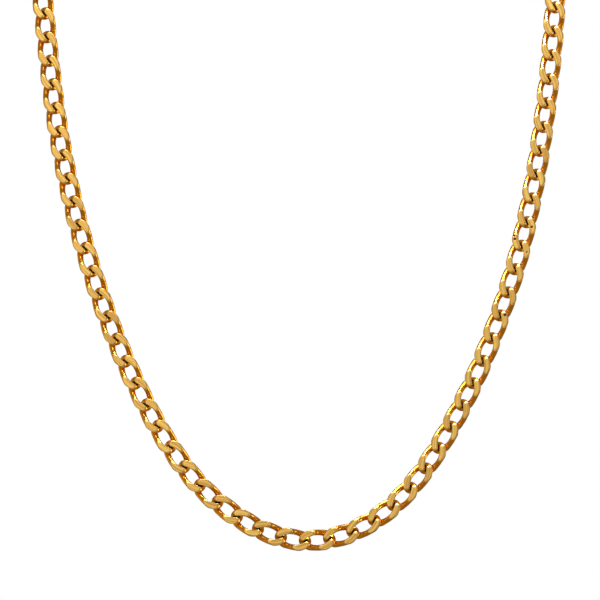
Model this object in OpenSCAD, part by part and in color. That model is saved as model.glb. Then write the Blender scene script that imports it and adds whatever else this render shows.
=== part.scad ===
// A flat curb chain necklace, closed at the nape by a plain barrel clasp.
// The front hangs as a U and faces -Y. The loop leans back over the shoulders to the nape.
// Lengths are millimetres, and the origin is where the clasp rests on the nape.

/* [Necklace] */
// Length once round the closed loop, clasp included
necklace_length = 610; // [500:5:700]
// Backward lean of the front, in degrees from upright
front_lean = 4; // [0:1:12]
// Radius on which the chain turns back over the shoulders
shoulder_r = 50; // [40:5:80]
// Rise of the collar towards the nape, in degrees from level
nape_slope = 20; // [0:5:40]

/* [Link] */
// Width of the wire, across the face of the chain
wire_w = 1.38; // [1.26:0.02:1.7]
// Thickness of the wire, through the face of the chain
wire_t = 1.1; // [0.8:0.02:1.3]
// Clear length inside one link
opening_l = 6.2; // [5.8:0.1:6.8]
// Play of the neighbouring wires along a link
link_play = 0.3; // [0.25:0.05:0.5]
// Room that a link leaves beside its neighbour's wire
side_room = 0.55; // [0.45:0.05:0.9]
// Thickness of the chain between its two filed faces
filed_t = 1.75; // [1.5:0.05:2.2]

/* [Clasp] */
// Diameter of the barrel
barrel_d = 4.6; // [3.6:0.2:6]
// Length of the barrel over its domed ends
barrel_l = 9.6; // [7:0.2:14]
// Wire of the eyes
eye_wire = 0.9; // [0.8:0.05:1.1]
// Clear diameter inside an eye
eye_d = 2.6; // [2.4:0.1:3.2]
// Play of the end link in its eye
eye_play = 0.5; // [0.5:0.05:0.7]

/* [Hidden] */

// Form of a link: its ends are twisted against each other, its outline is a rounded oblong
twist = 45;
twist_power = 0.83;
squareness = 2.7;
lift = 1.09;
cant = 3;
rings = 12;
wire_sides = 6;

// Opening of a link, and half the length and width of its wire's centre line
half_l = (opening_l + wire_w) / 2;
opening_w = wire_w / 2 + wire_t + side_room;
half_w = (opening_w + wire_w) / 2;

// The clasp's eyes, their wire sunk three quarters into the domes, and the places of the end links
eye_r = (eye_d + eye_wire) / 2;
eye_x = barrel_l / 2 + eye_r - eye_wire / 4;
clasp_half_span = eye_x + (eye_d - wire_w) / 2 - eye_play + half_l;
seam_d = 0.4;

// Route of the loop on the sheet that it lies on, as [across, rise above the lowest point],
// from the left of the nape down the left strand, through the bottom and up the right strand
route_top = 241;
route_shoulder = 136;
ROUTE = [
    [-25, 239], [-41, 231], [-56, 216.5], [-65, 199], [-68.5, 178.5], [-67.5, 162], [-65.5, 147],
    [-63.5, 131], [-62, 118], [-60, 103], [-57, 87.5], [-53, 72], [-47.5, 55.5], [-41, 40],
    [-33, 25], [-24, 13], [-14, 5], [-5, 1], [3.5, 0], [12.5, 2], [21.5, 7.5], [29, 15.5],
    [36, 26.5], [43, 40.5], [49, 56], [53.5, 71], [57, 87.5], [59.5, 104], [61, 117.5],
    [62, 131], [62.5, 147], [63, 162], [62.5, 178], [59.5, 197.5], [52, 215], [39.5, 229.5],
    [25, 238.5]
];
span_steps = 12;

// The number of links that fits the length, and their even spacing
pitch = opening_l - link_play;
chain_length = necklace_length - 2 * clasp_half_span;
gap_count = round(chain_length / pitch);
spacing = chain_length / gap_count;
last_left = floor(gap_count / 2);

// A point of the smooth curve through b and c, whose neighbours are a and d
function curve_point(a, b, c, d, t) =
    b + (c - a) * t / 2
    + (2 * a - 5 * b + 4 * c - d) * t * t / 2
    + (3 * b - 3 * c + d - a) * t * t * t / 2;

// The route at a scale, between the places of the two end links. Beyond each end stands the
// mirror of the first point inside it, so that the curve leaves in line with the clasp.
function beyond_end(x, p) = [2 * x - p[0], p[1]];
function scaled_route(k) =
    let (inner = k * ROUTE, x = clasp_half_span, h = k * route_top)
    concat(
        [beyond_end(-x, inner[0]), [-x, h]],
        inner,
        [[x, h], beyond_end(x, inner[len(inner) - 1])]
    );

function smooth_path(p) = [
    for (i = [1 : len(p) - 3], j = [0 : span_steps - (i < len(p) - 3 ? 1 : 0)])
        curve_point(p[i - 1], p[i], p[i + 1], p[i + 2], j / span_steps)
];

// Distance along a path at each of its points
function running_length(p) = [
    for (i = 0, s = 0; i < len(p); i = i + 1, s = s + (i < len(p) ? norm(p[i] - p[i - 1]) : 0)) s
];

// The scale at which the path has the chain's length, found in a few steps
function fitted_scale(k, steps) =
    steps == 0 ? k
    : let (s = running_length(smooth_path(scaled_route(k))))
        fitted_scale(k * chain_length / s[len(s) - 1], steps - 1);

route_scale = fitted_scale(1, 4);
path = smooth_path(scaled_route(route_scale));
along = running_length(path);
across_table = [for (i = [0 : len(path) - 1]) [along[i], path[i][0]]];
rise_table = [for (i = [0 : len(path) - 1]) [along[i], path[i][1]]];
path_end = along[len(along) - 1];

// A place on the route, or past its ends on the clasp's own straight line
function route_at(s) =
    let (d = max(0, min(path_end, s)))
    [lookup(d, across_table) - (s - d), lookup(d, rise_table)];

// The sheet stands at the front, turns back on the shoulder radius and runs on to the nape
shoulder_rise = route_scale * route_shoulder;
nape_lean = 90 - nape_slope;
shoulder_arc = shoulder_r * (nape_lean - front_lean) * PI / 180;
function sheet_lean(h) =
    front_lean + max(0, min(nape_lean - front_lean, (h - shoulder_rise) / shoulder_r * 180 / PI));
function sheet_side(h) =
    let (
        q = sheet_lean(h),
        before = min(0, h - shoulder_rise),
        after = max(0, h - shoulder_rise - shoulder_arc)
    )
    before * [sin(front_lean), cos(front_lean)]
    + shoulder_r * [cos(front_lean) - cos(q), sin(q) - sin(front_lean)]
    + after * [sin(nape_lean), cos(nape_lean)];
nape_side = sheet_side(route_scale * route_top);
function place(p) = let (side = sheet_side(p[1]) - nape_side) [p[0], side[0], side[1] + barrel_d / 2];

function signed_power(x, p) = sign(x) * pow(abs(x), p);

// Centre of the wire at one ring: a rounded oblong along X, twisted about X, with its front to -Y
function ring_centre(k) =
    let (
        a = 360 * k / rings,
        u = half_w * signed_power(cos(a), 2 / squareness),
        v = half_l * signed_power(sin(a), 2 / squareness),
        q = twist * signed_power(v / half_l, twist_power)
    )
    [v, -lift * u * sin(q), -u * cos(q)];

// Corners of the wire's section at one ring, cut back to the two filed faces
function ring_points(k) =
    let (
        centre = ring_centre(k),
        step = ring_centre(k + 1) - ring_centre(k - 1),
        run = step / norm(step),
        front = [0, -1, 0],
        lean = front - run * (run * front),
        through = lean / norm(lean),
        flat = cross(run, through)
    )
    [
        for (j = [0 : wire_sides - 1])
            let (
                b = 360 * j / wire_sides,
                p = centre + wire_w / 2 * cos(b) * flat + wire_t / 2 * sin(b) * through
            )
            [p[0], max(-filed_t / 2, min(filed_t / 2, p[1])), p[2]]
    ];

link_points = [for (k = [0 : rings - 1]) each ring_points(k)];

// Each four-sided patch of the wire is split along its shorter diagonal
function patch_faces(a, b, c, d) =
    norm(link_points[a] - link_points[c]) < norm(link_points[b] - link_points[d])
        ? [[a, b, c], [a, c, d]]
        : [[a, b, d], [b, c, d]];
link_faces = [
    for (k = [0 : rings - 1], j = [0 : wire_sides - 1])
        let (
            this_ring = k * wire_sides,
            next_ring = (k + 1) % rings * wire_sides,
            next_side = (j + 1) % wire_sides
        )
        each patch_faces(this_ring + j, this_ring + next_side, next_ring + next_side, next_ring + j)
];

module link() {
    rotate([0, cant, 0])
        polyhedron(points = link_points, faces = link_faces);
}

// One link in its place on the route, turned along the chord to its neighbours
module placed_link(i) {
    s = i * spacing;
    here = route_at(s);
    chord = route_at(s + spacing / 2) - route_at(s - spacing / 2);
    translate(place(here))
        rotate([-sheet_lean(here[1]), 0, 0])
            rotate([0, -atan2(chord[1], chord[0]), 0])
                link();
}

module chain(first, last) {
    color("goldenrod")
        for (i = [first : last])
            placed_link(i);
}

module chain_left() {
    chain(0, last_left);
}

module chain_right() {
    chain(last_left + 1, gap_count);
}

// An eye stands at half the links' twist, so that it crosses the end link as a neighbour would
module eye(side) {
    rotate([side * twist, 0, 0])
        translate([side * eye_x, 0, 0])
            rotate([0, 0, side < 0 ? 180 : 0])
                rotate_extrude($fn = 48)
                    translate([eye_r, 0])
                        circle(d = eye_wire, $fn = 24);
}

module barrel() {
    rotate([0, 90, 0])
        difference() {
            intersection() {
                cylinder(d = barrel_d, h = barrel_l, center = true, $fn = 64);
                sphere(d = barrel_l, $fn = 64);
            }
            rotate_extrude($fn = 64)
                translate([barrel_d / 2, 0])
                    circle(d = seam_d, $fn = 16);
        }
}

module clasp() {
    color("gold")
        translate([0, 0, barrel_d / 2])
            rotate([-nape_lean, 0, 0])
                union() {
                    barrel();
                    eye(-1);
                    eye(1);
                }
}

chain_left();
chain_right();
clasp();
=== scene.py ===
"""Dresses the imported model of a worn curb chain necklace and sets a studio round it.

Sizes of pieces are millimetres in the piece's own frame. They go into the meshes in metres, at the
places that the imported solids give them.
"""
import logging
import math
from dataclasses import dataclass, field
from enum import Enum

import bpy
import numpy as np
from mathutils import Matrix, Vector


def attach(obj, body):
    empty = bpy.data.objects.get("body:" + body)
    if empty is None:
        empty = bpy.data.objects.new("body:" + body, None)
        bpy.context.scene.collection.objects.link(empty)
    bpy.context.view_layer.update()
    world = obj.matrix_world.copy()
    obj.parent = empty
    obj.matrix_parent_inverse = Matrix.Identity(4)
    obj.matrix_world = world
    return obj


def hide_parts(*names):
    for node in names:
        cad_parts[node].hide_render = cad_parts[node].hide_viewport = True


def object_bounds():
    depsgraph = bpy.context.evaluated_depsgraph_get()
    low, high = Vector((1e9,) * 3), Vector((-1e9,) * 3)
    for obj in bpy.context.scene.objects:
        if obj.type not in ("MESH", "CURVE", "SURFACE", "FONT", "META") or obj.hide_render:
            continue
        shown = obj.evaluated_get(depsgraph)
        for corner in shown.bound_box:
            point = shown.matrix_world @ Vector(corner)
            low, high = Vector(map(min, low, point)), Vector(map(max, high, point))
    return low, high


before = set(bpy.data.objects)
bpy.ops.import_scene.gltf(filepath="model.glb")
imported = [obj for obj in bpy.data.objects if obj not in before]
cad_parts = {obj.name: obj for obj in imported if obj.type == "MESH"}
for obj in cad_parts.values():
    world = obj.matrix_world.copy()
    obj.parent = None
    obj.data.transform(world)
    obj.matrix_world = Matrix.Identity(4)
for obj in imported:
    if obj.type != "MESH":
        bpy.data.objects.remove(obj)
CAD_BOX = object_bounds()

log = logging.getLogger("necklace")
MM = 0.001
BODY = "root"
WHITE = (1.0, 1.0, 1.0, 1.0)


class Node(Enum):
    """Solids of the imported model."""

    LEFT = "chain_left"
    RIGHT = "chain_right"
    CLASP = "clasp"


class Mark(Enum):
    """Numbers that each corner of a piece carries for its finish."""

    BULGE = "bulge"
    ACROSS = "across"
    LINK = "link"
    SLIT_OFF = "slit_off"
    SLIT_ALONG = "slit_along"
    TURNED = "turned"


def linear(colour: str) -> tuple[float, float, float, float]:
    """Turns an sRGB hex colour into linear RGBA.

    Args:
        colour: six hex digits after a hash.

    Returns:
        The linear red, green and blue, with alpha 1.
    """
    srgb = np.array([int(colour[i : i + 2], 16) / 255 for i in (1, 3, 5)])
    rgb = np.where(srgb <= 0.04045, srgb / 12.92, ((srgb + 0.055) / 1.055) ** 2.4)
    return (*map(float, rgb), 1.0)


def add_node(
    tree: bpy.types.NodeTree, kind: str, inputs: dict | None = None, **settings
) -> bpy.types.Node:
    """Adds one node with its settings and links.

    Args:
        tree: the node tree that it goes into.
        kind: the node's type name after "ShaderNode".
        inputs: for each named or numbered input a value, another node's output, or another node
            that stands for its first output.
        settings: values of the node's own properties.

    Returns:
        The new node.
    """
    node = tree.nodes.new("ShaderNode" + kind)
    for name, value in settings.items():
        setattr(node, name, value)
    for name, value in (inputs or {}).items():
        if isinstance(value, bpy.types.Node):
            value = value.outputs[0]
        if isinstance(value, bpy.types.NodeSocket):
            tree.links.new(value, node.inputs[name])
        else:
            node.inputs[name].default_value = value
    return node


def mark(tree: bpy.types.NodeTree, name: Mark) -> bpy.types.NodeSocket:
    """Reads one of the numbers that a piece's corners carry."""
    return add_node(tree, "Attribute", attribute_name=name.value).outputs["Fac"]


def empty_material(name: str) -> bpy.types.Material:
    """Makes a material whose node tree is still empty.

    Args:
        name: the material's name.

    Returns:
        The new material.
    """
    made = bpy.data.materials.new(name)
    made.use_nodes = True
    made.node_tree.nodes.clear()
    return made


def make_piece(
    name: str,
    points_mm: np.ndarray,
    quads: np.ndarray,
    material: bpy.types.Material,
    values: dict[Mark, np.ndarray],
) -> bpy.types.Object:
    """Puts a surface of four-sided faces into a mesh at the origin, with smooth shading.

    Args:
        name: the piece's name.
        points_mm: corner places in millimetres, one row each.
        quads: four corner numbers a face, anticlockwise from outside. A face whose last two are
            the same has three sides.
        material: the finish of the whole piece.
        values: one number for each corner under each mark.

    Returns:
        The new object.
    """
    mesh = bpy.data.meshes.new(name)
    three = quads[:, 2] == quads[:, 3]
    sizes = np.where(three, 3, 4)
    keep = np.ones(quads.shape, bool)
    keep[:, 3] = ~three
    mesh.vertices.add(len(points_mm))
    mesh.vertices.foreach_set("co", (points_mm * MM).astype(np.float32).ravel())
    mesh.loops.add(int(sizes.sum()))
    mesh.loops.foreach_set("vertex_index", quads[keep].astype(np.int32))
    mesh.polygons.add(len(quads))
    mesh.polygons.foreach_set("loop_start", (np.cumsum(sizes) - sizes).astype(np.int32))
    mesh.polygons.foreach_set("use_smooth", np.ones(len(quads), bool))
    for key, numbers in values.items():
        mesh.attributes.new(key.value, "FLOAT", "POINT").data.foreach_set(
            "value", numbers.astype(np.float32)
        )
    mesh.update(calc_edges=True)
    mesh.validate()
    mesh.materials.append(material)
    piece = bpy.data.objects.new(name, mesh)
    bpy.context.scene.collection.objects.link(piece)
    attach(piece, BODY)
    return piece


def grid_quads(rows: int, columns: int, close_rows: bool) -> np.ndarray:
    """Numbers the faces of a grid whose columns close on themselves.

    Args:
        rows: how many rows of corners there are.
        columns: how many corners a row has.
        close_rows: whether the last row joins the first, as round a ring.

    Returns:
        Four corner numbers a face.
    """
    i = np.arange(rows if close_rows else rows - 1)[:, None]
    j = np.arange(columns)[None, :]
    below, right = (i + 1) % rows, (j + 1) % columns
    corners = [i * columns + j, i * columns + right, below * columns + right, below * columns + j]
    return np.stack([np.broadcast_to(c, (len(i), columns)) for c in corners], -1).reshape(-1, 4)


def outward(points: np.ndarray, quads: np.ndarray) -> np.ndarray:
    """Turns the faces of a closed surface so that they point outwards.

    Corner dot (corner cross corner), summed over the faces, is six times the volume that they
    close in, and it is negative where they point inwards. A face is turned over by swapping its
    first two corners and its last two, so that a doubled last corner stays where it is.

    Args:
        points: corner places.
        quads: four corner numbers a face.

    Returns:
        The faces, all turned over or all kept.
    """
    a, b, c, d = (points[quads[:, k]] for k in range(4))
    volume = (a * np.cross(b, c)).sum() + (a * np.cross(c, d)).sum()
    return quads if volume > 0 else quads[:, [1, 0, 3, 2]]


@dataclass(frozen=True)
class Pit:
    """A dark pit in a filed face. Its place is across and up the front, in millimetres."""

    x: float
    z: float
    radius: float


@dataclass(frozen=True)
class Masks:
    """Parts of a link's surface. Each is a node that gives 1 in its part and 0 elsewhere."""

    filed: bpy.types.Node
    # rough rim at the end of each filed face; its pale colour is a painted highlight
    burr_and_highlight: bpy.types.Node
    # walls of the slit, painted dark as painted shade
    slit: bpy.types.Node
    pitted: bpy.types.Node


@dataclass(frozen=True)
class FiledGold:
    """Gold plate over drawn brass wire: bright wire, with a satin filed face on both sides.

    The drawn wire mirrors the studio softly and goes deep orange where links face each other. The
    filed faces scatter more, so that each shows one even pale tone with fine lengthwise strokes, a
    painted darker shade along its border with a painted lighter middle, and a rough rim round its
    end whose pale colour is a painted highlight. The walls of the slit at each joint are painted
    dark, as painted shade.

    Starts and ends of the filed face and of the rim with its painted highlight are shares of half the
    filed thickness. Those of the painted border shade are millimetres from the middle of the face.
    """

    name: str = "gold_plate_over_brass"
    wire_colour: str = "#F7B03A"
    filed_colour: str = "#F8C66A"
    # pale colour of the rim, a painted highlight
    rim_highlight_colour: str = "#FFDE90"
    # dark colour of the slit's walls, painted shade
    slit_shade_colour: str = "#4A1404"
    pit_colour: str = "#5E1E02"
    wire_roughness: float = 0.25
    filed_roughness: float = 0.28
    burr_roughness: float = 0.5
    slit_roughness: float = 0.8
    wear_roughness: float = 0.04
    filed_from: tuple[float, float] = (0.985, 1.005)
    rim_from: tuple[float, float] = (0.85, 0.91)
    rim_until: tuple[float, float] = (1.01, 0.97)
    slit_half_w: float = 0.22
    slit_half_l: float = 1.45
    slit_side_edge: tuple[float, float] = (1.3, 0.7)
    slit_end_edge: tuple[float, float] = (1.15, 0.9)
    pit_edge: tuple[float, float] = (1.25, 0.5)
    border_from: tuple[float, float] = (0.4, 0.75)
    # Painted shade: the filed face is painted darker towards its border and a little lighter in its
    # middle
    painted_middle_light: float = 1.06
    painted_border_shade: float = 0.68
    stroke_shade: tuple[float, float] = (0.62, 1.16)
    # File strokes are about 0.1 mm apart, too fine to show, so a quarter of their number is drawn
    strokes_per_mm: float = 2.6
    stroke_wander: float = 0.3
    # Polishing leaves grain finer than 0.05 mm. It is drawn coarser, as fine as a pixel can show
    grain_mm: float = 0.22
    # Patches of wear are about half a millimetre wide, as the photograph shows them
    mottle_mm: float = 0.5
    noise_spread: tuple[float, float] = (0.35, 0.65)
    mottle_height: float = 0.4
    stroke_height: float = 2.0
    pit_height: float = -4.0
    wire_relief: float = 0.03
    relief_mm: float = 0.03
    relief_strength: float = 0.3

    def window(
        self, tree: bpy.types.NodeTree, value: bpy.types.NodeSocket, start: float, full: float
    ) -> bpy.types.Node:
        """Adds a smooth step between two values, the second of which may be the lower one.

        Args:
            tree: the material's node tree.
            value: the number that it depends on.
            start: where the step is still 0.
            full: where it has reached 1.

        Returns:
            A node that gives the step.
        """
        return add_node(
            tree, "MapRange", {"Value": value, "From Min": start, "From Max": full},
            interpolation_type="SMOOTHSTEP",
        )

    def slit(self, tree: bpy.types.NodeTree, filed: bpy.types.Node) -> bpy.types.Node:
        """Marks the walls of the slit, which are painted dark as painted shade.

        Args:
            tree: the material's node tree.
            filed: 1 on the filed faces, which the painted shade leaves out.

        Returns:
            A node that gives 1 in the slit and 0 outside.
        """
        inside = add_node(tree, "Math", {0: 1.0, 1: filed}, operation="SUBTRACT")
        for name, half, (outer, inner) in (
            (Mark.SLIT_OFF, self.slit_half_w, self.slit_side_edge),
            (Mark.SLIT_ALONG, self.slit_half_l, self.slit_end_edge),
        ):
            distance = add_node(tree, "Math", {0: mark(tree, name)}, operation="ABSOLUTE")
            part = self.window(tree, distance, half * outer, half * inner)
            inside = add_node(tree, "Math", {0: inside, 1: part}, operation="MULTIPLY")
        return inside

    def pits(
        self, tree: bpy.types.NodeTree, place: bpy.types.NodeSocket, places: list[tuple[Vector, float]]
    ) -> bpy.types.Node:
        """Marks the pits, each as a soft round spot.

        Args:
            tree: the material's node tree.
            place: the shaded point.
            places: each pit's middle and radius, in metres.

        Returns:
            A node that gives 1 in a pit and 0 outside.
        """
        outer, inner = self.pit_edge
        pitted = add_node(tree, "Value")
        pitted.outputs[0].default_value = 0.0
        for middle, radius in places:
            far = add_node(tree, "VectorMath", {0: place, 1: middle}, operation="DISTANCE")
            spot = self.window(tree, far.outputs["Value"], radius * outer, radius * inner)
            pitted = add_node(tree, "Math", {0: pitted, 1: spot}, operation="MAXIMUM")
        return pitted

    def masks(
        self, tree: bpy.types.NodeTree, place: bpy.types.NodeSocket, places: list[tuple[Vector, float]]
    ) -> Masks:
        """Finds the filed faces, the rims with their painted highlight, the slits with their painted
        shade, and the pits.

        Args:
            tree: the material's node tree.
            place: the shaded point.
            places: each pit's middle and radius, in metres.

        Returns:
            The four masks.
        """
        bulge = mark(tree, Mark.BULGE)
        filed = self.window(tree, bulge, *self.filed_from)
        start = self.window(tree, bulge, *self.rim_from)
        end = self.window(tree, bulge, *self.rim_until)
        burr_and_highlight = add_node(tree, "Math", {0: start, 1: end}, operation="MULTIPLY")
        return Masks(filed, burr_and_highlight, self.slit(tree, filed), self.pits(tree, place, places))

    def colour(
        self, tree: bpy.types.NodeTree, masks: Masks, stroke: bpy.types.Node
    ) -> bpy.types.NodeSocket:
        """Works out the metal's colour, with painted light and shade. Strokes and the painted border
        shade darken only the filed faces.

        Args:
            tree: the material's node tree.
            masks: the parts of the surface.
            stroke: noise that runs lengthwise over the filed faces.

        Returns:
            The colour.
        """
        colour = add_node(
            tree, "Mix",
            {0: masks.filed, 6: linear(self.wire_colour), 7: linear(self.filed_colour)},
            data_type="RGBA",
        ).outputs[2]
        low, high = self.noise_spread
        dark, light = self.stroke_shade
        shade = add_node(
            tree, "MapRange",
            {"Value": stroke, "From Min": low, "From Max": high, "To Min": dark, "To Max": light},
        )
        # Painted shade darkens the filed face towards its border, and painted light lifts its middle a
        # little
        from_middle = add_node(tree, "Math", {0: mark(tree, Mark.ACROSS)}, operation="ABSOLUTE")
        border = add_node(
            tree, "MapRange",
            {
                "Value": self.window(tree, from_middle, *self.border_from),
                "To Min": self.painted_middle_light,
                "To Max": self.painted_border_shade,
            },
        )
        shade = add_node(tree, "Math", {0: shade, 1: border}, operation="MULTIPLY")
        shade = add_node(
            tree, "MapRange", {"Value": masks.filed, "To Min": 1.0, "To Max": shade.outputs[0]}
        )
        colour = add_node(
            tree, "Mix", {0: 1.0, 6: colour, 7: shade}, data_type="RGBA", blend_type="MULTIPLY"
        ).outputs[2]
        # The rim's pale colour is a painted highlight, and the slit's dark colour is painted shade
        for share, paint in (
            (masks.burr_and_highlight, self.rim_highlight_colour),
            (masks.pitted, self.pit_colour),
            (masks.slit, self.slit_shade_colour),
        ):
            colour = add_node(
                tree, "Mix", {0: share, 6: colour, 7: linear(paint)}, data_type="RGBA"
            ).outputs[2]
        return colour

    def roughness(
        self, tree: bpy.types.NodeTree, masks: Masks, mottle: bpy.types.Node
    ) -> bpy.types.Node:
        """Works out the roughness, which patches of wear raise and lower a little.

        Args:
            tree: the material's node tree.
            masks: the parts of the surface.
            mottle: noise as wide as the patches of wear.

        Returns:
            A node that gives the roughness.
        """
        rough = add_node(
            tree, "MapRange",
            {"Value": masks.filed, "To Min": self.wire_roughness, "To Max": self.filed_roughness},
        )
        worn = add_node(
            tree, "MapRange",
            {"Value": mottle, "To Min": -self.wear_roughness, "To Max": self.wear_roughness},
        )
        rough = add_node(tree, "Math", {0: rough, 1: worn}, operation="ADD")
        for share, value in (
            (masks.burr_and_highlight, self.burr_roughness),
            (masks.slit, self.slit_roughness),
        ):
            rough = add_node(
                tree, "MapRange", {"Value": share, "To Min": rough.outputs[0], "To Max": value}
            )
        return rough

    def relief(
        self,
        tree: bpy.types.NodeTree,
        masks: Masks,
        mottle: bpy.types.Node,
        grain: bpy.types.Node,
        stroke: bpy.types.Node,
    ) -> bpy.types.Node:
        """Raises the grain and the strokes, nearly all of it on the filed faces, and sinks the pits.

        Args:
            tree: the material's node tree.
            masks: the parts of the surface.
            mottle: noise as wide as the patches of wear.
            grain: noise as fine as the grain.
            stroke: noise that runs lengthwise over the filed faces.

        Returns:
            A node that gives the bumped normal.
        """
        height = add_node(
            tree, "Math", {0: mottle, 1: self.mottle_height, 2: grain}, operation="MULTIPLY_ADD"
        )
        height = add_node(
            tree, "Math", {0: stroke, 1: self.stroke_height, 2: height}, operation="MULTIPLY_ADD"
        )
        depth = add_node(
            tree, "MapRange", {"Value": masks.filed, "To Min": self.wire_relief, "To Max": 1.0}
        )
        height = add_node(tree, "Math", {0: height, 1: depth}, operation="MULTIPLY")
        height = add_node(
            tree, "Math", {0: masks.pitted, 1: self.pit_height, 2: height}, operation="MULTIPLY_ADD"
        )
        return add_node(
            tree, "Bump",
            {
                "Height": height,
                "Strength": self.relief_strength,
                "Distance": self.relief_mm * MM,
            },
        )

    def material(self, pit_places: list[tuple[Vector, float]]) -> bpy.types.Material:
        """Builds the finish from the piece's own place and its marks.

        Args:
            pit_places: each pit's middle and radius, in metres.

        Returns:
            The material.
        """
        made = empty_material(self.name)
        tree = made.node_tree
        place = add_node(tree, "TexCoord").outputs["Object"]
        masks = self.masks(tree, place, pit_places)
        mottle, grain = (
            add_node(tree, "TexNoise", {"Vector": place, "Scale": 1 / (size * MM), "Detail": detail})
            for size, detail in ((self.mottle_mm, 3.0), (self.grain_mm, 2.0))
        )
        lane = add_node(
            tree, "CombineXYZ", {"X": mark(tree, Mark.ACROSS), "Y": mark(tree, Mark.LINK)}
        )
        stroke = add_node(
            tree, "TexNoise",
            {
                "Vector": lane,
                "Scale": self.strokes_per_mm,
                "Detail": 2.0,
                "Distortion": self.stroke_wander,
            },
        )
        # In the slit the specular tint goes dark too, as painted shade
        edge = add_node(
            tree, "Mix",
            {0: masks.slit, 6: WHITE, 7: linear(self.slit_shade_colour)},
            data_type="RGBA",
        ).outputs[2]
        shader = add_node(
            tree, "BsdfPrincipled",
            {
                "Base Color": self.colour(tree, masks, stroke),
                "Metallic": 1.0,
                "Specular Tint": edge,
                "Roughness": self.roughness(tree, masks, mottle),
                "Normal": self.relief(tree, masks, mottle, grain, stroke),
            },
        )
        add_node(tree, "OutputMaterial", {"Surface": shader})
        return made


@dataclass(frozen=True)
class TurnedGold:
    """Gold plate over turned brass, as on a barrel clasp: bright, with faint marks round its axis.

    The marks stretch each highlight along the barrel a little, and the seam stays dark.
    """

    name: str = "gold_plate_over_turned_brass"
    colour: str = "#F4BC58"
    seam_colour: str = "#5A2C08"
    roughness: float = 0.16
    # A lathe's marks are about 0.03 mm apart and too fine to show, so they are drawn four times wider
    mark_mm: float = 0.12
    mark_depth_mm: float = 0.01
    mark_strength: float = 0.15
    # Patches where wear and fingers have dulled the plate are one to two millimetres wide
    cloud_mm: float = 1.667
    cloud_roughness: float = 0.1
    seam_half_w: float = 0.2

    def material(self) -> bpy.types.Material:
        """Builds the finish from the distance along the barrel.

        Returns:
            The material.
        """
        made = empty_material(self.name)
        tree = made.node_tree
        place = add_node(tree, "TexCoord").outputs["Object"]
        turned = mark(tree, Mark.TURNED)
        lane = add_node(tree, "CombineXYZ", {"X": turned})
        marks = add_node(tree, "TexNoise", {"Vector": lane, "Scale": 1 / self.mark_mm, "Detail": 3.0})
        cloud_scale = 1 / (self.cloud_mm * MM)
        cloud = add_node(tree, "TexNoise", {"Vector": place, "Scale": cloud_scale, "Detail": 3.0})
        from_seam = add_node(tree, "Math", {0: turned}, operation="ABSOLUTE")
        seam = add_node(
            tree, "MapRange",
            {"Value": from_seam, "From Min": self.seam_half_w, "From Max": self.seam_half_w / 2},
            interpolation_type="SMOOTHSTEP",
        )
        colour = add_node(
            tree, "Mix",
            {0: seam, 6: linear(self.colour), 7: linear(self.seam_colour)},
            data_type="RGBA",
        ).outputs[2]
        rough = add_node(
            tree, "Math",
            {0: cloud, 1: self.cloud_roughness, 2: self.roughness - self.cloud_roughness / 2},
            operation="MULTIPLY_ADD",
        )
        bump = add_node(
            tree, "Bump",
            {
                "Height": marks,
                "Strength": self.mark_strength,
                "Distance": self.mark_depth_mm * MM,
            },
        )
        shader = add_node(
            tree, "BsdfPrincipled",
            {"Base Color": colour, "Metallic": 1.0, "Roughness": rough, "Normal": bump},
        )
        add_node(tree, "OutputMaterial", {"Surface": shader})
        return made


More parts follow.
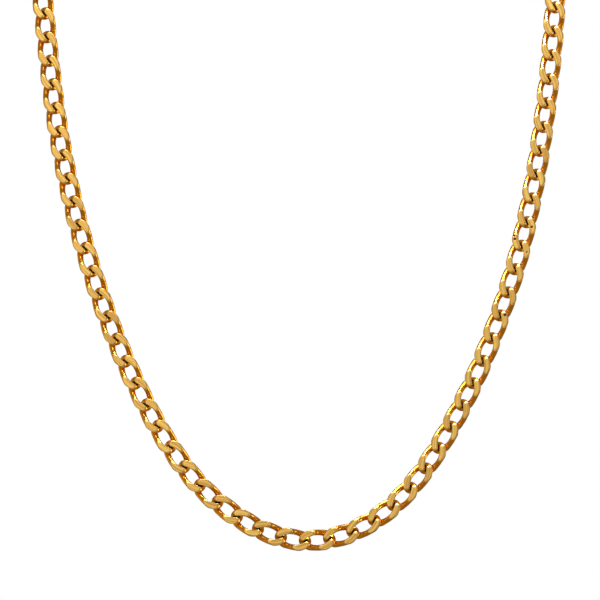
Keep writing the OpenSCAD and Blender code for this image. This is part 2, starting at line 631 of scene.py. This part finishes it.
@dataclass
class CurbLink:
    """One link: a rounded oblong of wire, twisted about its length and filed flat on both faces.

    The link's frame has X along the chain, Y through it with the front at -Y, and Z across it.
    """

    wire_w: float = 1.38
    wire_t: float = 1.1
    opening_l: float = 6.2
    side_room: float = 0.55
    filed_t: float = 1.9
    twist: float = math.radians(45)
    twist_power: float = 0.83
    squareness: float = 2.5
    lift: float = 1.09
    swell: float = 0.44
    swell_at: float = 0.72
    swell_reach: float = 0.2
    spread: float = 0.2
    spread_at: float = 0.54
    spread_reach: float = 0.24
    edge_power: float = 32.0
    crown: float = 0.03
    spacing: float = 5.89
    cant: float = math.radians(3)
    slit_angle: float = math.radians(37)
    slit_half_w: float = 0.15
    press_reach: float = 1.45
    press_back: float = 0.5
    press_room: float = 0.004
    press_soft: float = 0.05
    rings: int = 80
    sides: int = 24
    fine_steps: int = 3600

    def half_length(self) -> float:
        """Half the length of the wire's centre line."""
        return (self.opening_l + self.wire_w) / 2

    def half_width(self) -> float:
        """Half its width, round a hole that a neighbour's wire and the room beside it fill."""
        opening_w = self.wire_w / 2 + self.wire_t + self.side_room
        return (opening_w + self.wire_w) / 2

    def wire_line(self, angle: np.ndarray) -> np.ndarray:
        """Centre line of the wire at angles round the link.

        A superellipse of half width u and half length v is turned about X by the twist angle times
        a power of v over the half length, and its depth is stretched by the lift.

        Args:
            angle: angles from the middle of one side, in radians.

        Returns:
            One place for each angle.
        """
        half_l, half_w = self.half_length(), self.half_width()
        c, s = np.cos(angle), np.sin(angle)
        u = half_w * np.sign(c) * np.abs(c) ** (2 / self.squareness)
        v = half_l * np.sign(s) * np.abs(s) ** (2 / self.squareness)
        q = self.twist * np.sign(v) * np.abs(v / half_l) ** self.twist_power
        return np.stack([v, -self.lift * u * np.sin(q), -u * np.cos(q)], -1)

    def to_joint(self, points: np.ndarray) -> tuple[np.ndarray, np.ndarray, np.ndarray]:
        """Where corners lie at the surface that parts this link from its neighbour.

        That surface is a helicoid about a line through the joint's middle. It is square to the row
        at half depth and turns with the depth, so that it shows as a slantwise slit on each face.
        Links stand at the cant to their row, so a joint lies beside the link's own long axis.

        Args:
            points: places in the link's frame.

        Returns:
            Distance off the parting surface, distance along it from the joint's middle, and the
            surface's angle.
        """
        end = np.sign(points[..., 0])
        depth = np.clip(points[..., 1] * 2 / self.filed_t, -1, 1)
        angle = math.pi / 2 + self.cant + (math.pi / 2 - self.slit_angle) * depth
        x = np.abs(points[..., 0]) - self.spacing / 2 * math.cos(self.cant)
        z = points[..., 2] * end - self.spacing / 2 * math.sin(self.cant)
        return x * np.sin(angle) - z * np.cos(angle), x * np.cos(angle) + z * np.sin(angle), angle

    def press(self, points: np.ndarray) -> None:
        """Presses the link flat along its neighbours, so that a narrow even slit stays between them.

        With r the room beside the parting surface and k a small softness, the distance d off that
        surface becomes r + q(d) ((d - r) + sqrt((d - r)^2 + k^2)) / 2, which is never below r. The
        factor q grows from 0 at the surface to 1 at a wire's width from it, which draws the wire
        near. The change fades along the surface and behind it.

        Args:
            points: places in the link's frame, moved in place.
        """
        off, along, angle = self.to_joint(points)
        depth = np.clip(np.abs(points[..., 1]) * 2 / self.filed_t, 0, 1)
        room = self.slit_half_w * depth**3 + self.press_room
        near = np.exp(-((along / self.press_reach) ** 6) - (np.minimum(off, 0) / self.press_back) ** 6)
        spare = off - room
        draw = np.clip(off / self.wire_w, 0, 1) ** (1 - depth / 2)
        kept = draw * (spare + np.sqrt(spare**2 + self.press_soft**2)) / 2
        move = (room + kept - off) * near * np.sign(points[..., 0])
        points[..., 0] += move * np.sin(angle)
        points[..., 2] -= move * np.cos(angle)

    def surface(self) -> tuple[np.ndarray, np.ndarray, dict[Mark, np.ndarray]]:
        """Works out the whole link.

        Elliptical sections stand square to the wire line, at even distances along it. Each section
        is half_w cos(b) flat + half_t sin(b) through. Its side towards the hole swells by a bell
        curve of the distance from the link's middle, where the wire was pressed on its neighbour.
        The other side spreads by a lower bell curve, where the wire was hammered flat.
        With n the edge power and h half the filed thickness, depth y becomes y (1 + |y/h|^n)^(-1/n),
        which stays below h and turns over to the filed face softly. It then loses a share that
        grows with the fourth power of cos(b), so that the filed face is faintly domed.

        Returns:
            Corner places, faces, and the marks of each corner.
        """
        fine = np.linspace(0, 2 * math.pi, self.fine_steps + 1)
        line = self.wire_line(fine)
        run_length = np.concatenate([[0], np.cumsum(np.linalg.norm(np.diff(line, axis=0), axis=1))])
        even = np.linspace(0, run_length[-1], self.rings, endpoint=False)
        centre = self.wire_line(np.interp(even, run_length, fine))
        run = np.roll(centre, -1, 0) - np.roll(centre, 1, 0)
        run /= np.linalg.norm(run, axis=1, keepdims=True)
        front = np.array([0.0, -1.0, 0.0])
        through = front - run * (run @ front)[:, None]
        through /= np.linalg.norm(through, axis=1, keepdims=True)
        flat = np.cross(run, through)

        b = np.linspace(0, 2 * math.pi, self.sides, endpoint=False)[None, :]
        inward = np.sign((flat * -centre).sum())
        share = np.abs(centre[:, :1]) / self.half_length()
        swell = self.swell * np.exp(-(((share - self.swell_at) / self.swell_reach) ** 2))
        spread = self.spread * np.exp(-(((share - self.spread_at) / self.spread_reach) ** 2))
        across = np.cos(b)
        hole_side = inward * across > 0
        wide = across * (self.wire_w / 2 + np.where(hole_side, swell, spread))
        thick = self.wire_t / 2 * np.sin(b) + 0 * wide
        sections = wide[..., None] * flat[:, None] + thick[..., None] * through[:, None]
        points = centre[:, None] + sections

        bulge = np.abs(points[..., 1]) * 2 / self.filed_t
        points[..., 1] *= (1 + bulge**self.edge_power) ** (-1 / self.edge_power)
        points[..., 1] *= 1 - self.crown * np.cos(b) ** 4
        self.press(points)
        faced = points.copy()
        faced[..., 1] = np.sign(points[..., 1]) * self.filed_t
        slit_off, slit_along, _ = self.to_joint(faced)
        marks = {
            Mark.BULGE: bulge,
            Mark.ACROSS: wide,
            Mark.SLIT_OFF: slit_off,
            Mark.SLIT_ALONG: slit_along,
        }
        quads = grid_quads(self.rings, self.sides, True)
        points = points.reshape(-1, 3)
        return points, outward(points, quads), {key: numbers.ravel() for key, numbers in marks.items()}


@dataclass
class ChainStrand:
    """A run of loose links that stands for one strand of solids, link by link."""

    node: Node
    link: CurbLink = field(default_factory=CurbLink)

    def solid_corners(self) -> np.ndarray:
        """Corners of each solid link of the node.

        Triangles that share a corner get the lowest label among them, again and again until the
        labels stay, so that each closed solid ends with a label of its own.

        Returns:
            Places in millimetres, as links by corners by three.
        """
        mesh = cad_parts[self.node.value].data
        co = np.empty(len(mesh.vertices) * 3, np.float32)
        mesh.vertices.foreach_get("co", co)
        triangles = np.empty(len(mesh.loops), np.int32)
        mesh.loops.foreach_get("vertex_index", triangles)
        rounded, index = np.unique(np.round(co.reshape(-1, 3) / MM, 4), axis=0, return_inverse=True)
        faces = index.ravel()[triangles].reshape(-1, 3)
        label = np.arange(len(rounded))
        while True:
            lowest = label[faces].min(1)
            fresh = label.copy()
            np.minimum.at(fresh, faces.ravel(), np.repeat(lowest, 3))
            if (fresh == label).all():
                break
            label = fresh
        order = np.argsort(label, kind="stable")
        links = len(np.unique(label))
        return rounded[order].reshape(links, -1, 3)

    def places(self) -> tuple[np.ndarray, np.ndarray]:
        """Where each link lies, from the spread of its solid's corners.

        The three principal directions of the corners are the link's length, width and thickness.
        The thickness is turned so that -Y is the face that shows from the front and from above. A
        link looks the same after half a turn about it, so the other two only stay right-handed.

        Returns:
            The links' centres, and their turns with the columns X, Y and Z.
        """
        corners = self.solid_corners()
        centres = corners.mean(1)
        spread = corners - centres[:, None]
        _, axes = np.linalg.eigh(np.einsum("nij,nik->njk", spread, spread))
        turns = axes[:, :, [2, 0, 1]]
        turns[:, :, 1] *= np.sign(turns[:, :, 1] @ np.array([0.0, 1.0, -0.5]))[:, None]
        turns[:, :, 2] *= np.sign(np.linalg.det(turns))[:, None]
        return centres, turns

    def on_front(self, pit: Pit) -> tuple[Vector, float]:
        """Finds a pit's place on the front face of the nearest link.

        Args:
            pit: the pit, with its place across and up the front.

        Returns:
            Its middle and its radius, in metres.
        """
        centres, turns = self.places()
        nearest = np.argmin(np.hypot(centres[:, 0] - pit.x, centres[:, 2] - pit.z))
        centre, normal = centres[nearest], -turns[nearest, :, 1]
        rest = normal[0] * (pit.x - centre[0]) + normal[2] * (pit.z - centre[2])
        y = centre[1] + (self.link.filed_t / 2 - rest) / normal[1]
        return Vector((pit.x, y, pit.z)) * MM, pit.radius * MM

    def build(self, finish: bpy.types.Material) -> bpy.types.Object:
        """Lays the fine link at each place and dresses it.

        Args:
            finish: the material of the links.

        Returns:
            The links as one piece.
        """
        points, quads, marks = self.link.surface()
        centres, turns = self.places()
        laid = np.einsum("nij,pj->npi", turns, points) + centres[:, None]
        steps = np.arange(len(centres))[:, None, None] * len(points)
        values = {key: np.tile(numbers, len(centres)) for key, numbers in marks.items()}
        values[Mark.LINK] = np.repeat(np.arange(len(centres)), len(points))
        piece = make_piece(
            f"{self.node.value}_links",
            laid.reshape(-1, 3),
            (quads[None] + steps).reshape(-1, 4),
            finish,
            values,
        )
        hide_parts(self.node.value)
        return piece


@dataclass
class BarrelClasp:
    """Plain barrel clasp with domed ends, a seam round its middle and a wire eye at each end."""

    barrel_d: float = 4.6
    barrel_l: float = 9.6
    seam_d: float = 0.4
    rim: float = 0.25
    eye_wire: float = 0.9
    eye_d: float = 2.6
    eye_turn: float = math.radians(45)
    lean: float = math.radians(70)
    columns: int = 96
    dome_start: float = math.radians(2)
    dome_steps: int = 12
    rim_steps: int = 8
    side_steps: int = 8
    seam_steps: int = 7
    eye_rings: int = 64
    eye_sides: int = 24

    def barrel(self) -> tuple[np.ndarray, np.ndarray, np.ndarray]:
        """Works out the barrel, its profile turned about X between two poles.

        Half of the profile is the dome's circle, whose radius is half the barrel's length, a
        rounded rim (1-t)^2 start + 2t(1-t) corner + t^2 end, a straight side and half of the seam's
        groove. The other half is its mirror.

        Returns:
            Corner places, faces, and the distance along the barrel of each corner.
        """
        side_r, dome_r = self.barrel_d / 2, self.barrel_l / 2
        up = np.linspace(self.dome_start, math.asin((side_r - self.rim) / dome_r), self.dome_steps)
        dome = np.stack([dome_r * np.cos(up), dome_r * np.sin(up)], -1)
        corner = np.array([math.sqrt(dome_r**2 - side_r**2), side_r])
        start, end = dome[-1], corner - [self.rim, 0]
        t = np.linspace(0, 1, self.rim_steps)[1:, None]
        fillet = (1 - t) ** 2 * start + 2 * t * (1 - t) * corner + t**2 * end
        turn = np.linspace(0, math.pi / 2, self.seam_steps)
        seam = np.stack([np.cos(turn), 0 * turn], -1) * self.seam_d / 2
        seam[:, 1] = side_r - self.seam_d / 2 * np.sin(turn)
        straight = np.linspace(end, seam[0], self.side_steps)[1:-1]
        half = np.concatenate([dome, fillet, straight, seam])
        profile = np.concatenate([half, half[-2::-1] * [-1, 1]])
        a = np.linspace(0, 2 * math.pi, self.columns, endpoint=False)
        rings = np.stack(
            [
                np.repeat(profile[:, :1], self.columns, 1),
                profile[:, 1:] * np.cos(a),
                profile[:, 1:] * np.sin(a),
            ],
            -1,
        ).reshape(-1, 3)
        points = np.concatenate([rings, [[dome_r, 0, 0], [-dome_r, 0, 0]]])
        this = np.arange(self.columns)
        after = (this + 1) % self.columns
        last = len(rings) - self.columns
        first_pole = np.stack([0 * this + len(rings), after, this, this], -1)
        last_pole = np.stack(
            [0 * this + len(rings) + 1, this + last, after + last, after + last], -1
        )
        sides = grid_quads(len(profile), self.columns, False)
        quads = np.concatenate([sides, first_pole, last_pole])
        return points, outward(points, quads), points[:, 0]

    def eye(self, side: int) -> tuple[np.ndarray, np.ndarray, np.ndarray]:
        """Works out one eye, a ring of round wire sunk into the dome and turned about X.

        With ring radius R and wire radius r, a corner is (R + r cos b) (cos a, sin a), and r sin b
        up, for angles a round the ring and b round the wire.

        Args:
            side: -1 or 1, the end of the barrel.

        Returns:
            Corner places, faces, and a distance of each corner from the seam.
        """
        ring_r = (self.eye_d + self.eye_wire) / 2
        a = np.linspace(0, 2 * math.pi, self.eye_rings, endpoint=False)[:, None]
        b = np.linspace(0, 2 * math.pi, self.eye_sides, endpoint=False)[None, :]
        reach = ring_r + self.eye_wire / 2 * np.cos(b)
        middle = self.barrel_l / 2 + ring_r - self.eye_wire / 4
        rise = self.eye_wire / 2 * np.sin(b) + 0 * a
        ring = np.stack([side * middle + reach * np.cos(a), reach * np.sin(a), rise], -1)
        turn = np.array(Matrix.Rotation(side * self.eye_turn, 3, "X"))
        points = ring.reshape(-1, 3) @ turn.T
        quads = grid_quads(self.eye_rings, self.eye_sides, True)
        return points, outward(points, quads), points[:, 0]

    def build(self, finish: bpy.types.Material) -> bpy.types.Object:
        """Lays the clasp on the nape and dresses it.

        Args:
            finish: the material of the clasp.

        Returns:
            The clasp as one piece.
        """
        shapes = [self.barrel(), self.eye(-1), self.eye(1)]
        starts = np.cumsum([0] + [len(points) for points, _, _ in shapes])
        points = np.concatenate([points for points, _, _ in shapes])
        quads = np.concatenate([quads + start for (_, quads, _), start in zip(shapes, starts)])
        turned = np.concatenate([numbers for _, _, numbers in shapes])
        lean = np.array(Matrix.Rotation(-self.lean, 3, "X"))
        piece = make_piece(
            "clasp_barrel",
            points @ lean.T + [0, 0, self.barrel_d / 2],
            quads,
            finish,
            {Mark.TURNED: turned},
        )
        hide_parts(Node.CLASP.value)
        return piece


@dataclass(frozen=True)
class Softbox:
    """A soft panel light that the metal mirrors but the camera doesn't see.

    With no bounces, its light counts only where the metal mirrors the panel itself. Links then don't
    pass its image on to each other as small bright points.
    """

    name: str
    centre: Vector
    facing: Vector
    width: float
    height: float
    power: float
    bounces: int = 0

    def place(self) -> None:
        """Hangs the panel at its centre. It shines only to the side that it faces."""
        data = bpy.data.lights.new(self.name, "AREA")
        data.shape = "RECTANGLE"
        data.size, data.size_y = self.width, self.height
        data.energy = self.power
        data.cycles.max_bounces = self.bounces
        lamp = bpy.data.objects.new(self.name, data)
        lamp.location = self.centre
        lamp.rotation_mode = "QUATERNION"
        lamp.rotation_quaternion = (-self.facing).to_track_quat("Z", "Y")
        lamp.visible_camera = False
        bpy.context.scene.collection.objects.link(lamp)


@dataclass
class Studio:
    """White backdrop, pale floor, soft panels and the camera at the photograph's angle."""

    aim: Vector = field(default_factory=lambda: Vector((0.0, -0.08272, -0.13497)))
    azimuth: float = 3.0
    distance: float = 0.7
    frame_width: float = 0.1458
    floor_drop: float = 0.13
    floor_radius: float = 0.9
    floor_corners: int = 96
    wall_edge: tuple[float, float] = (-0.75, -0.97)
    wall_tone: float = 0.66
    wall_rise: float = 0.7
    wall_slant: float = -1.5
    wall_least: float = 0.4
    wall_colour: str = "#FFFBF0"
    room_edge: tuple[float, float] = (0.75, 1.0)
    room_tone: float = 0.28
    room_side_tone: float = 0.6
    room_colour: str = "#FFE0A2"

    def camera(self) -> None:
        """Stands the camera level with the aim point, a little to the right."""
        data = bpy.data.cameras.new("camera")
        data.sensor_width = 36.0
        data.lens = data.sensor_width * self.distance / self.frame_width
        data.clip_start, data.clip_end = 0.01, 20.0
        camera = bpy.data.objects.new("camera", data)
        a = math.radians(self.azimuth)
        back = Vector((math.sin(a), -math.cos(a), 0.0))
        camera.location = self.aim + back * self.distance
        camera.rotation_mode = "QUATERNION"
        camera.rotation_quaternion = back.to_track_quat("Z", "Y")
        bpy.context.scene.collection.objects.link(camera)
        bpy.context.scene.camera = camera

    def floor(self) -> None:
        """Lays a round pale floor below the chain, one flat face with its corners on a circle."""
        low = CAD_BOX[0].z - self.floor_drop
        turn = np.linspace(0, 2 * math.pi, self.floor_corners, endpoint=False)
        rim = np.stack([np.cos(turn), np.sin(turn), 0 * turn], -1) * self.floor_radius
        mesh = bpy.data.meshes.new("floor")
        mesh.from_pydata((rim + [0.0, 0.0, low]).tolist(), [], [list(range(self.floor_corners))])
        paint = bpy.data.materials.new("matt_white_paint")
        paint.use_nodes = True
        shader = paint.node_tree.nodes["Principled BSDF"]
        shader.inputs["Base Color"].default_value = linear("#F2F1EE")
        shader.inputs["Roughness"].default_value = 0.9
        mesh.materials.append(paint)
        floor = bpy.data.objects.new("floor", mesh)
        floor.visible_glossy = False
        bpy.context.scene.collection.objects.link(floor)

    def sky(self) -> None:
        """Gives the camera a white backdrop, and the metal a dim warm room with one bright wall.

        The bright wall stands in front of the necklace. Its tone rises with the height of the
        mirrored ray and towards the left, and never falls below its least. The rest of the room is
        dim, and brighter far to the left and right.
        """
        world = bpy.data.worlds.new("studio")
        world.use_nodes = True
        bpy.context.scene.world = world
        tree = world.node_tree
        tree.nodes.clear()
        ray = add_node(tree, "SeparateXYZ", {0: add_node(tree, "TexCoord").outputs["Generated"]})
        across, ahead, rise = ray.outputs
        wall_start, wall_full = self.wall_edge
        room_start, room_full = self.room_edge
        front = add_node(
            tree, "MapRange", {"Value": ahead, "From Min": wall_start, "From Max": wall_full},
            interpolation_type="SMOOTHSTEP",
        )
        wall = add_node(
            tree, "Math", {0: rise, 1: self.wall_rise, 2: self.wall_tone}, operation="MULTIPLY_ADD"
        )
        wall = add_node(
            tree, "Math", {0: across, 1: self.wall_slant, 2: wall}, operation="MULTIPLY_ADD"
        )
        wall = add_node(tree, "Math", {0: wall, 1: self.wall_least}, operation="MAXIMUM")
        sides = add_node(
            tree, "MapRange",
            {
                "Value": add_node(tree, "Math", {0: across}, operation="ABSOLUTE"),
                "From Min": room_start,
                "From Max": room_full,
                "To Min": self.room_tone,
                "To Max": self.room_side_tone,
            },
            interpolation_type="SMOOTHSTEP",
        )
        tone = add_node(tree, "MapRange", {"Value": front, "To Min": sides, "To Max": wall})
        tint = add_node(
            tree, "Mix",
            {0: front, 6: linear(self.room_colour), 7: linear(self.wall_colour)},
            data_type="RGBA",
        ).outputs[2]
        room = add_node(tree, "Background", {"Color": tint, "Strength": tone})
        white = add_node(tree, "Background", {"Color": WHITE, "Strength": 1.0})
        seen = add_node(tree, "LightPath").outputs["Is Camera Ray"]
        mix = add_node(tree, "MixShader", {0: seen, 1: room, 2: white})
        add_node(tree, "OutputWorld", {"Surface": mix})

    def build(self) -> None:
        """Sets the whole studio and plain colour handling, in which white stays white."""
        view = bpy.context.scene.view_settings
        view.view_transform, view.look = "Standard", "None"
        view.exposure, view.gamma = 0.0, 1.0
        self.camera()
        self.floor()
        self.sky()
        for panel in PANELS:
            panel.place()


# Panels that the metal mirrors, set by matching the tones of the photograph. Places and sizes are
# metres, and powers are watts.
PANELS = (
    Softbox(
        "key_panel",
        centre=Vector((0.03, -0.165, 0.24)),
        facing=Vector((0.97, 0.0, -0.24)),
        width=0.09,
        height=0.22,
        power=10,
    ),
    Softbox(
        "front_panel",
        centre=Vector((-0.06, -0.75, 0.5)),
        facing=Vector((0.0, 0.75, -0.66)),
        width=0.4,
        height=0.28,
        power=3.5,
    ),
    Softbox(
        "side_panel",
        centre=Vector((0.85, -0.3, -0.23)),
        facing=Vector((-1.0, 0.2, 0.0)),
        width=0.25,
        height=0.4,
        power=1.5,
    ),
)

# Pits in the filed faces of the right strand, as the photograph shows them
PITS = (
    Pit(51.9, -119.4, 0.34),
    Pit(52.1, -120.2, 0.38),
    Pit(56.2, -117.3, 0.36),
    Pit(55.0, -123.4, 0.24),
    Pit(49.7, -138.6, 0.4),
)


def main() -> None:
    """Builds the pieces in order and reports each, then sets the studio."""
    logging.basicConfig(level=logging.INFO, format="%(name)s: %(message)s")
    left, right = ChainStrand(Node.LEFT), ChainStrand(Node.RIGHT)
    links_finish = FiledGold().material([right.on_front(pit) for pit in PITS])
    pieces = (
        left.build(links_finish),
        right.build(links_finish),
        BarrelClasp().build(TurnedGold().material()),
    )
    for piece in pieces:
        log.info("%s: %d faces", piece.name, len(piece.data.polygons))
    Studio().build()


if __name__ == "__main__":
    main()
